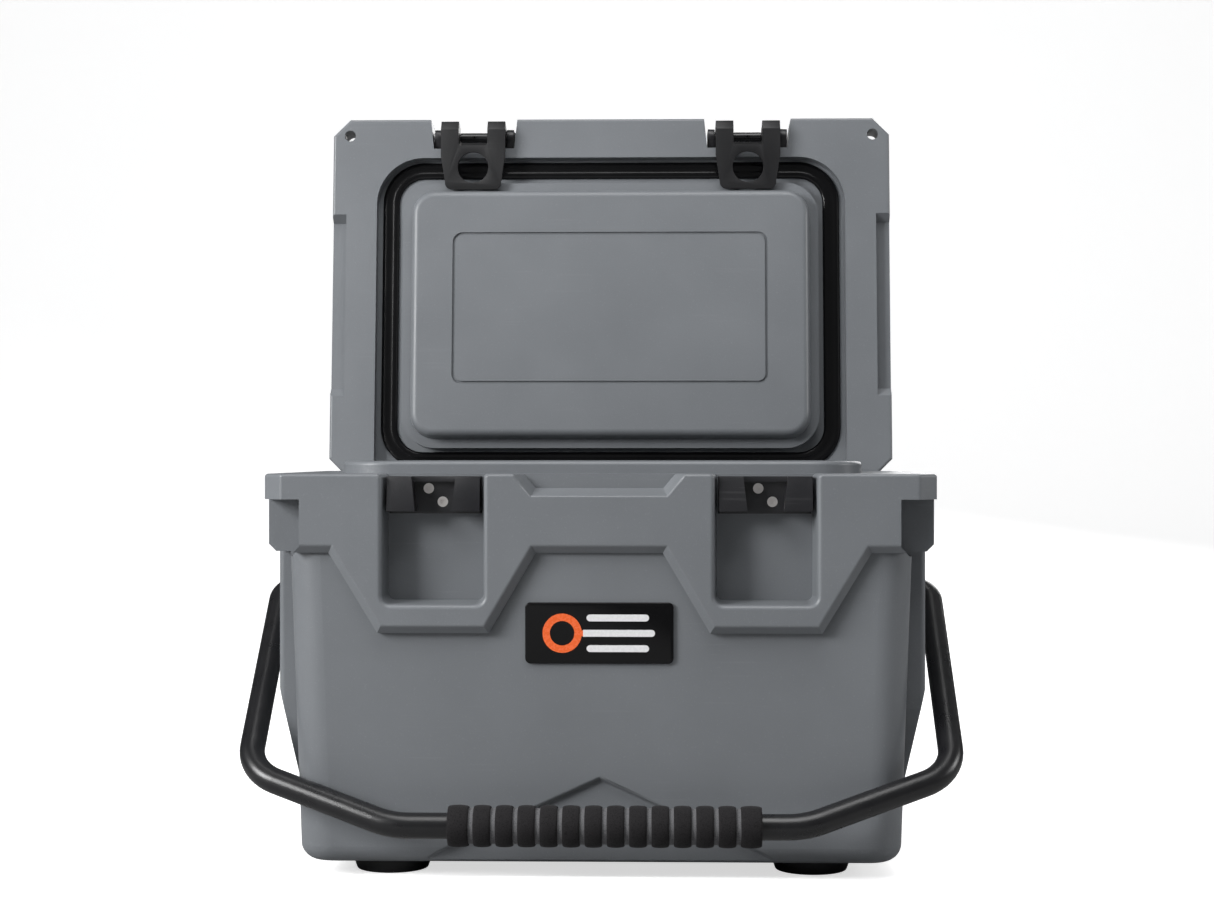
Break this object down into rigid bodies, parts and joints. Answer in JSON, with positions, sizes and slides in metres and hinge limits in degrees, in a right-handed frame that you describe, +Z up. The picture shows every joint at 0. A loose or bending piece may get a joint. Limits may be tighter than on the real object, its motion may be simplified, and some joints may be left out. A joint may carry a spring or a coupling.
{
  "type": "hard cooler",
  "caption": "Rotomoulded hard cooler with a hinged lid that stands open, rubber latches, and a bail handle with a foam grip.",
  "frame": {"origin": "on the floor, under the middle of the body", "axes": "+X to the right, the front faces -Y, +Z up"},
  "size_m": [0.543, 0.4413, 0.6186],
  "materials": {
    "shell_plastic": "fine moulded texture",
    "wall_foam": "matte",
    "plug_plastic": "satin",
    "foot_rubber": "matte",
    "stainless_steel": "satin",
    "black_plastic": "satin",
    "latch_rubber": "satin",
    "black_steel": "satin",
    "gasket_rubber": "gloss",
    "badge_black": "gloss",
    "badge_colour": "gloss",
    "handle_coating": "satin",
    "grip_grey_foam": "matte",
    "grip_black_foam": "matte"
  },
  "bodies": {
    "cooler_body": {"badge_emblem": "badge_colour", "badge_plate": "badge_black", "body_foam": "wall_foam", "body_plugs": "plug_plastic", "body_shell": "shell_plastic", "foot_back_left": "foot_rubber", "foot_back_right": "foot_rubber", "foot_front_left": "foot_rubber", "foot_front_right": "foot_rubber", "foot_screws": "stainless_steel", "handle_bushings": "black_plastic", "hinge_caps": "black_plastic", "hinge_rod": "stainless_steel", "keeper_left": "black_plastic", "keeper_right": "black_plastic", "keeper_screws": "stainless_steel"},
    "lid": {"lid_shell": "shell_plastic", "lid_foam": "wall_foam", "lid_plug": "plug_plastic", "lid_gasket": "gasket_rubber", "latch_bracket_left": "black_plastic", "latch_bracket_right": "black_plastic", "bracket_screws": "stainless_steel"},
    "latch_pin_left": {"latch_pin_left": "black_steel"},
    "latch_pin_right": {"latch_pin_right": "black_steel"},
    "latch_left": {"latch_paddle_left": "latch_rubber"},
    "latch_right": {"latch_paddle_right": "latch_rubber"},
    "handle": {"handle_tube": "handle_coating", "grip_core": "grip_grey_foam", "grip_rings": "grip_black_foam"}
  },
  "joints": [
    {"name": "lid_hinge", "type": "hinge", "parent": "cooler_body", "child": "lid", "pos_m": [0, 0.158, 0.3], "axis": [1, 0, 0], "range_deg": [0, 95.5]},
    {"name": "handle_swing", "type": "hinge", "parent": "cooler_body", "child": "handle", "pos_m": [0, 0, 0.208], "axis": [-1, 0, 0], "range_deg": [0, 158]},
    {"name": "latch_left_swing", "type": "hinge", "parent": "lid", "child": "latch_pin_left", "pos_m": [-0.123, 0.19719, 0.60264], "axis": [-1, 0, 0], "range_deg": [-4, 80]},
    {"name": "latch_left_hang", "type": "hinge", "parent": "latch_pin_left", "child": "latch_left", "pos_m": [-0.123, 0.19719, 0.60264], "axis": [1, 0, 0], "range_deg": [-95.5, 0]},
    {"name": "latch_right_swing", "type": "hinge", "parent": "lid", "child": "latch_pin_right", "pos_m": [0.123, 0.19719, 0.60264], "axis": [-1, 0, 0], "range_deg": [-4, 80]},
    {"name": "latch_right_hang", "type": "hinge", "parent": "latch_pin_right", "child": "latch_right", "pos_m": [0.123, 0.19719, 0.60264], "axis": [1, 0, 0], "range_deg": [-95.5, 0]}
  ],
  "couplings": [
    {"joint": "latch_left_hang", "follows": "lid_hinge", "ratio": -1},
    {"joint": "latch_right_hang", "follows": "lid_hinge", "ratio": -1}
  ]
}
